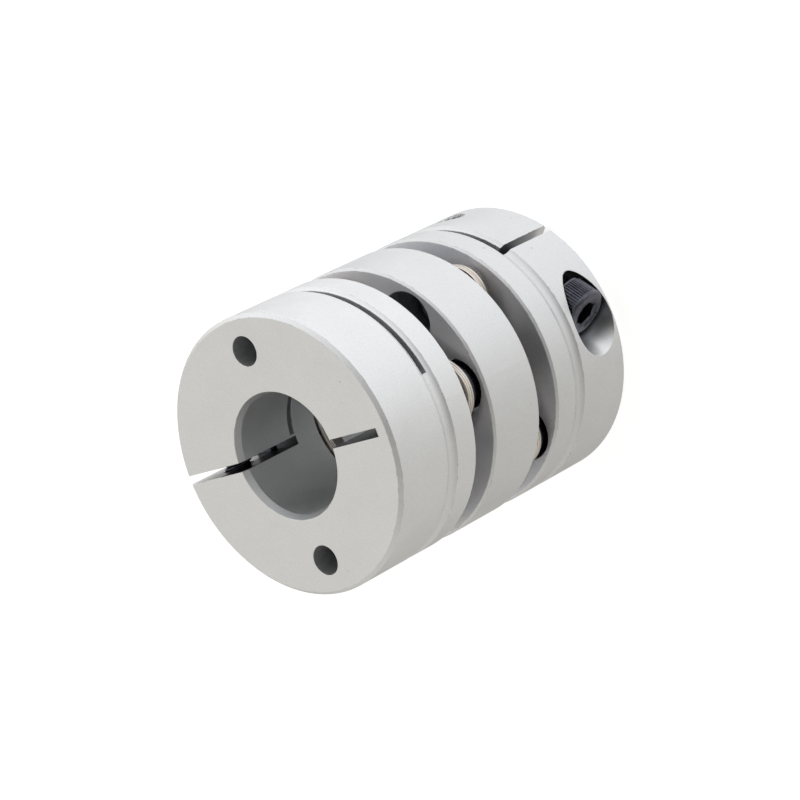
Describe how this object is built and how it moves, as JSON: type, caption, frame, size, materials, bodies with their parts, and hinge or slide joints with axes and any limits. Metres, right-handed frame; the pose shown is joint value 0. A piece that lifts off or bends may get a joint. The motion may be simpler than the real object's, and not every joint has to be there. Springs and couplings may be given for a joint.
{
  "type": "disc coupling",
  "caption": "Flexible shaft coupling: slit clamp hubs joined by packs of thin spring discs to a plain spacer ring, which takes up misalignment between two shafts without backlash.",
  "frame": {"origin": "on the shafts' axis, at the lower hub's end face, which the coupling stands on", "axes": "+Z along the shafts' axis to the upper hub; +X midway between a screw of the upper disc pack, at +22.5 degrees, and one of the lower pack, at -22.5 degrees; the upper hub's through slit is at 202.5 degrees and the lower hub's at 67.5"},
  "size_m": [0.039, 0.039, 0.049],
  "materials": {
    "anodised_aluminium": "blasted, clear anodised",
    "spring_steel": "rolled stainless spring sheet",
    "stainless_steel": "turned, bright",
    "black_oxide_steel": "black oxide, lightly oiled"
  },
  "bodies": {
    "root": {"lower_clamp_hub": "anodised_aluminium", "upper_clamp_hub": "anodised_aluminium", "centre_spacer": "anodised_aluminium", "lower_clamp_screw": "black_oxide_steel", "lower_disc_leaf_1": "spring_steel", "lower_disc_leaf_2": "spring_steel", "lower_disc_leaf_3": "spring_steel", "lower_disc_screw_1": "black_oxide_steel", "lower_disc_collar_1": "stainless_steel", "lower_head_washer_1": "stainless_steel", "lower_disc_screw_2": "black_oxide_steel", "lower_disc_collar_2": "stainless_steel", "lower_head_washer_2": "stainless_steel", "lower_disc_screw_3": "black_oxide_steel", "lower_disc_collar_3": "stainless_steel", "lower_head_washer_3": "stainless_steel", "lower_disc_screw_4": "black_oxide_steel", "lower_disc_collar_4": "stainless_steel", "lower_head_washer_4": "stainless_steel", "upper_clamp_screw": "black_oxide_steel", "upper_disc_leaf_1": "spring_steel", "upper_disc_leaf_2": "spring_steel", "upper_disc_leaf_3": "spring_steel", "upper_disc_screw_1": "black_oxide_steel", "upper_disc_collar_1": "stainless_steel", "upper_head_washer_1": "stainless_steel", "upper_disc_screw_2": "black_oxide_steel", "upper_disc_collar_2": "stainless_steel", "upper_head_washer_2": "stainless_steel", "upper_disc_screw_3": "black_oxide_steel", "upper_disc_collar_3": "stainless_steel", "upper_head_washer_3": "stainless_steel", "upper_disc_screw_4": "black_oxide_steel", "upper_disc_collar_4": "stainless_steel", "upper_head_washer_4": "stainless_steel"}
  },
  "joints": []
}
